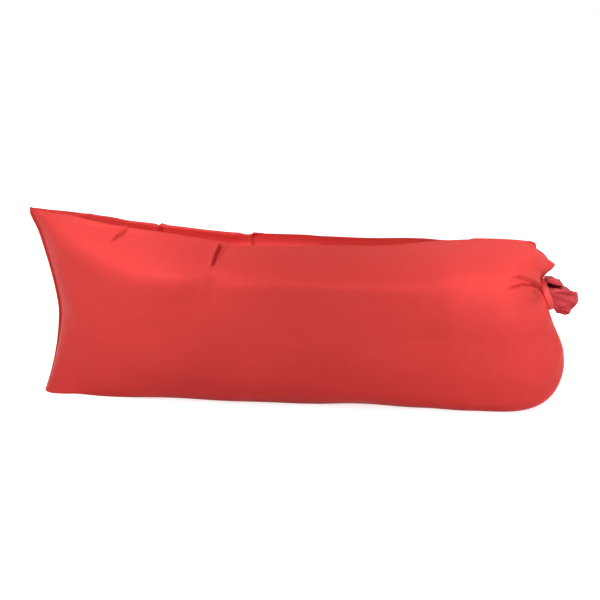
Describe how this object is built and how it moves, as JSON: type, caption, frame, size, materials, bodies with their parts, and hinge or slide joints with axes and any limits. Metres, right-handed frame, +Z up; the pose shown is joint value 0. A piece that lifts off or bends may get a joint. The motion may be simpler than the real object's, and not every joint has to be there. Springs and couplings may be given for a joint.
{
  "type": "inflatable air lounger",
  "caption": "Inflatable fabric lounger: paired air tubes with a trough to lie in, flat sewn head end, and a pleated mouth tied by a webbing strap with a side-release buckle.",
  "frame": {"origin": "on the floor, under the middle of the whole length and between the two tubes", "axes": "+X from the flat head seam to the gathered mouth, +Y towards the tube that carries the buckle, +Z up"},
  "size_m": [1.9071, 0.69, 0.63],
  "materials": {
    "shell_fabric": "satin woven polyester, red",
    "film": "clear thin polyethylene film",
    "webbing": "plain woven tape and webbing, lighter red",
    "buckle_plastic": "moulded acetal, black"
  },
  "bodies": {
    "lounger": {"near_shell": "shell_fabric", "far_shell": "shell_fabric", "near_liner": "film", "far_liner": "film", "centre_seam_tape": "webbing", "end_seam_binding": "webbing", "mouth_pleats": "shell_fabric", "mouth_hem": "webbing", "neck_strap": "webbing", "plug_strap": "webbing", "buckle_socket": "buckle_plastic"},
    "plug": {"buckle_plug": "buckle_plastic"}
  },
  "joints": [
    {"name": "buckle_release", "type": "slide", "parent": "lounger", "child": "plug", "axis": [-0.3827, 0, 0.9239], "range_m": [0, 0.034], "deforming": ["buckle_plug", "plug_strap"]}
  ]
}
